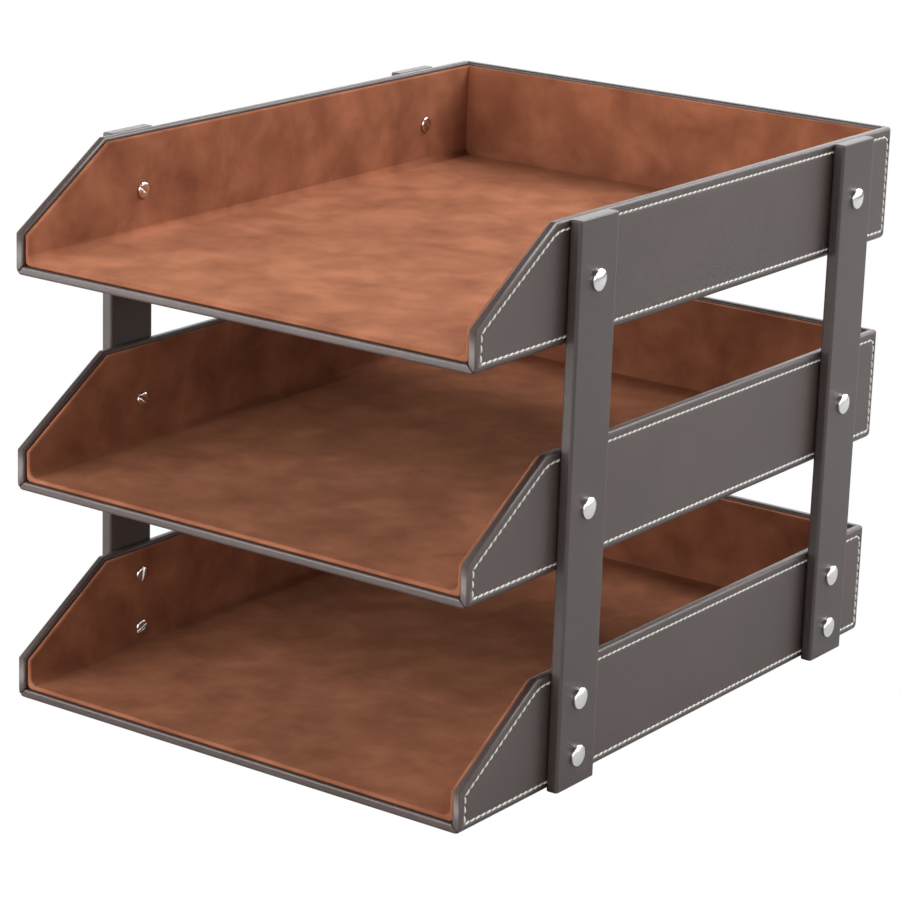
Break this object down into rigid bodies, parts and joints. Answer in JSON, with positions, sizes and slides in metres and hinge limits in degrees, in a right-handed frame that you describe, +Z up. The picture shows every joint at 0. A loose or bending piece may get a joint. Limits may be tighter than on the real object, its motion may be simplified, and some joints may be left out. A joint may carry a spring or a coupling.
{
  "type": "three-tier letter tray",
  "caption": "Leather-wrapped desk tray with open-fronted tiers, slanted front corners and suede lining, stacked on flat posts with domed cap nuts.",
  "frame": {"origin": "on the surface that the tray stands on, in the middle of its width and of its depth", "axes": "+X to the right seen from the open front, +Y from the open front to the back, +Z up"},
  "size_m": [0.2666, 0.338, 0.253],
  "materials": {
    "leather_cover": "fine-grained satin artificial leather, dark grey-brown",
    "post_leather": "fine-grained satin artificial leather, dark grey-brown",
    "suede_lining": "short matt suede nap, rust brown",
    "board": "raw fibreboard",
    "post_wood": "raw wood",
    "chrome_metal": "polished plating"
  },
  "bodies": {
    "root": {"bottom_base_board": "board", "bottom_back_board": "board", "bottom_left_board": "board", "bottom_right_board": "board", "bottom_left_cover": "leather_cover", "bottom_right_cover": "leather_cover", "bottom_back_cover": "leather_cover", "bottom_base_cover": "leather_cover", "bottom_lining": "suede_lining", "bottom_back_lining": "suede_lining", "middle_base_board": "board", "middle_back_board": "board", "middle_left_board": "board", "middle_right_board": "board", "middle_left_cover": "leather_cover", "middle_right_cover": "leather_cover", "middle_back_cover": "leather_cover", "middle_base_cover": "leather_cover", "middle_lining": "suede_lining", "middle_back_lining": "suede_lining", "top_base_board": "board", "top_back_board": "board", "top_left_board": "board", "top_right_board": "board", "top_left_cover": "leather_cover", "top_right_cover": "leather_cover", "top_back_cover": "leather_cover", "top_base_cover": "leather_cover", "top_lining": "suede_lining", "top_back_lining": "suede_lining", "left_front_post_core": "post_wood", "left_front_post_cover": "post_leather", "left_front_cap_nuts": "chrome_metal", "left_front_screws": "chrome_metal", "left_rear_post_core": "post_wood", "left_rear_post_cover": "post_leather", "left_rear_cap_nuts": "chrome_metal", "left_rear_screws": "chrome_metal", "right_front_post_core": "post_wood", "right_front_post_cover": "post_leather", "right_front_cap_nuts": "chrome_metal", "right_front_screws": "chrome_metal", "right_rear_post_core": "post_wood", "right_rear_post_cover": "post_leather", "right_rear_cap_nuts": "chrome_metal", "right_rear_screws": "chrome_metal"}
  },
  "joints": []
}
